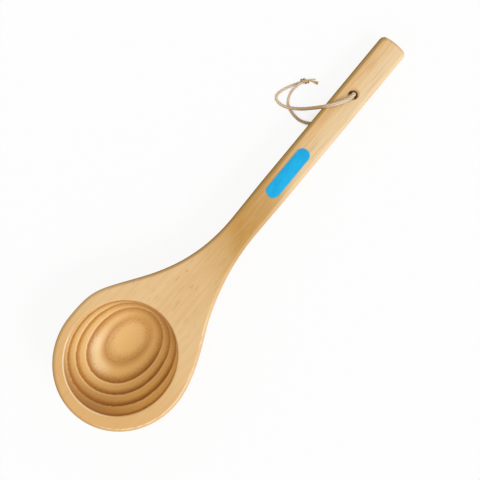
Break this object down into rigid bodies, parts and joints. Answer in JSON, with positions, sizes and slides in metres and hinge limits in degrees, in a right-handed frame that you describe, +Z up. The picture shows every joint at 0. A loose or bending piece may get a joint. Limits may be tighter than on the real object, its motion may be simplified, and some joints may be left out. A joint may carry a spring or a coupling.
{
  "type": "sauna ladle",
  "caption": "Carved pine sauna ladle with a round bowl, a long handle, a blank sticker and a knotted hanging cord.",
  "frame": {"origin": "middle of the sanded flat under the bowl, on the table the ladle lies on", "axes": "+X along the handle towards its end, +Y to the handle's left seen from above, +Z up"},
  "size_m": [0.3989, 0.1134, 0.0583],
  "materials": {
    "pine": "fine-sanded bare pine with long straight grain",
    "label_film": "plain sky-blue sticker film",
    "waxed_cord": "twisted tan cord, lightly waxed"
  },
  "bodies": {
    "ladle": {"ladle_body": "pine", "label": "label_film"},
    "hanging_loop": {"cord_front": "waxed_cord", "cord_back": "waxed_cord", "cord_knot": "waxed_cord", "cord_tail_upper": "waxed_cord", "cord_tail_lower": "waxed_cord"}
  },
  "joints": [
    {"name": "loop_swing", "type": "hinge", "parent": "ladle", "child": "hanging_loop", "pos_m": [0.2803, -0.0061, 0.0132], "axis": [0, 0, 1], "range_deg": [-75, 0]}
  ]
}
